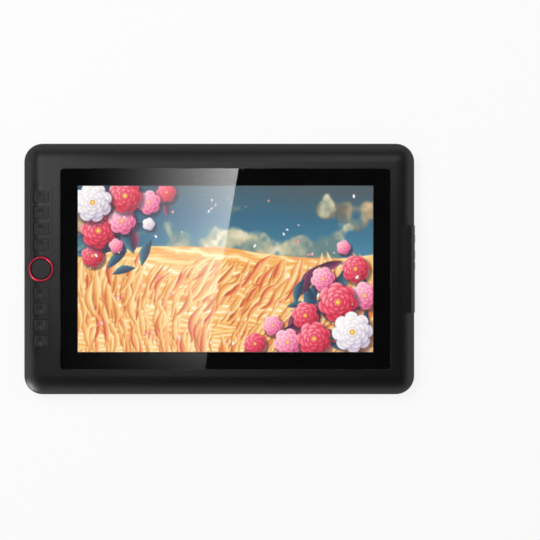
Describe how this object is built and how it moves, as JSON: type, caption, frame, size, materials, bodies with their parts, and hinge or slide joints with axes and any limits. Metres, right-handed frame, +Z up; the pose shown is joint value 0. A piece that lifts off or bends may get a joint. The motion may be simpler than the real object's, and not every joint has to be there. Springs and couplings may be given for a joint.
{
  "type": "graphics tablet with screen",
  "caption": "Flat pen display with a glass front, a column of press keys round a ringed dial, and a side port cover.",
  "frame": {"origin": "middle of the whole tablet on the desk plane, under its rubber feet", "axes": "+X along the long side away from the keys, +Y up the screen, +Z up out of the glass"},
  "size_m": [0.39, 0.25, 0.0139],
  "materials": {
    "case_plastic": "fine moulded texture",
    "key_plastic": "fine moulded texture",
    "surround_plastic": "satin moulded",
    "red_metal": "red anodised, polished",
    "glass": "polished, printed black border",
    "display": "liquid crystal cell",
    "adhesive": "foam tape",
    "sheet": "white film",
    "clear_plastic": "clear acrylic",
    "steel": "pressed sheet",
    "chassis_alloy": "pressed sheet",
    "screw_steel": "black zinc",
    "board": "solder mask",
    "chip": "moulded epoxy",
    "connector": "moulded nylon",
    "flat_cable": "polyester film",
    "switch_plastic": "moulded nylon",
    "plunger_plastic": "moulded acetal",
    "foot_rubber": "moulded rubber",
    "socket_steel": "nickel plated"
  },
  "bodies": {
    "case": {"front_cover": "case_plastic", "rear_cover": "case_plastic", "port_cover": "case_plastic", "key_surround": "surround_plastic", "cover_glass": "glass", "glass_adhesive": "adhesive", "lcd_panel": "display", "diffuser_sheets": "sheet", "light_guide": "clear_plastic", "reflector_sheet": "sheet", "backlight_tray": "steel", "backlight_lamp_bar": "board", "digitizer_board": "board", "shield_plate": "steel", "chassis_plate": "chassis_alloy", "main_board": "board", "main_board_chips": "chip", "shield_can": "steel", "port_board": "board", "usb_c_shell": "socket_steel", "usb_c_tongue": "chip", "status_light_pipe": "clear_plastic", "side_switch_housings": "switch_plastic", "key_board": "board", "key_switch_housings": "switch_plastic", "dial_encoder_body": "switch_plastic", "display_cable": "flat_cable", "digitizer_cable": "flat_cable", "key_board_cable": "flat_cable", "port_board_cable": "flat_cable", "board_connectors": "connector", "rubber_feet": "foot_rubber", "cover_screws": "screw_steel", "chassis_screws": "screw_steel", "board_screws": "screw_steel"},
    "key_1": {"key_1": "key_plastic", "key_1_plunger": "plunger_plastic"},
    "key_2": {"key_2": "key_plastic", "key_2_plunger": "plunger_plastic"},
    "key_3": {"key_3": "key_plastic", "key_3_plunger": "plunger_plastic"},
    "key_4": {"key_4": "key_plastic", "key_4_plunger": "plunger_plastic"},
    "key_5": {"key_5": "key_plastic", "key_5_plunger": "plunger_plastic"},
    "key_6": {"key_6": "key_plastic", "key_6_plunger": "plunger_plastic"},
    "key_7": {"key_7": "key_plastic", "key_7_plunger": "plunger_plastic"},
    "key_8": {"key_8": "key_plastic", "key_8_plunger": "plunger_plastic"},
    "dial": {"dial_wheel": "key_plastic", "dial_ring": "red_metal", "dial_shaft": "plunger_plastic"},
    "power_key": {"power_key": "key_plastic", "power_plunger": "plunger_plastic"},
    "brightness_up_key": {"brightness_up_key": "key_plastic", "brightness_up_plunger": "plunger_plastic"},
    "brightness_down_key": {"brightness_down_key": "key_plastic", "brightness_down_plunger": "plunger_plastic"}
  },
  "joints": [
    {"name": "key_1_press", "type": "slide", "parent": "case", "child": "key_1", "axis": [0, 0, -1], "range_m": [0, 0.0005], "stiffness_N_per_m": 800},
    {"name": "key_2_press", "type": "slide", "parent": "case", "child": "key_2", "axis": [0, 0, -1], "range_m": [0, 0.0005], "stiffness_N_per_m": 800},
    {"name": "key_3_press", "type": "slide", "parent": "case", "child": "key_3", "axis": [0, 0, -1], "range_m": [0, 0.0005], "stiffness_N_per_m": 800},
    {"name": "key_4_press", "type": "slide", "parent": "case", "child": "key_4", "axis": [0, 0, -1], "range_m": [0, 0.0005], "stiffness_N_per_m": 800},
    {"name": "key_5_press", "type": "slide", "parent": "case", "child": "key_5", "axis": [0, 0, -1], "range_m": [0, 0.0005], "stiffness_N_per_m": 800},
    {"name": "key_6_press", "type": "slide", "parent": "case", "child": "key_6", "axis": [0, 0, -1], "range_m": [0, 0.0005], "stiffness_N_per_m": 800},
    {"name": "key_7_press", "type": "slide", "parent": "case", "child": "key_7", "axis": [0, 0, -1], "range_m": [0, 0.0005], "stiffness_N_per_m": 800},
    {"name": "key_8_press", "type": "slide", "parent": "case", "child": "key_8", "axis": [0, 0, -1], "range_m": [0, 0.0005], "stiffness_N_per_m": 800},
    {"name": "dial_turn", "type": "hinge", "parent": "case", "child": "dial", "pos_m": [-0.1778, 0, 0.01], "axis": [0, 0, 1], "continuous": true},
    {"name": "power_press", "type": "slide", "parent": "case", "child": "power_key", "axis": [-1, 0, 0], "range_m": [0, 0.0003], "stiffness_N_per_m": 600},
    {"name": "brightness_up_press", "type": "slide", "parent": "case", "child": "brightness_up_key", "axis": [-1, 0, 0], "range_m": [0, 0.0003], "stiffness_N_per_m": 600},
    {"name": "brightness_down_press", "type": "slide", "parent": "case", "child": "brightness_down_key", "axis": [-1, 0, 0], "range_m": [0, 0.0003], "stiffness_N_per_m": 600}
  ]
}
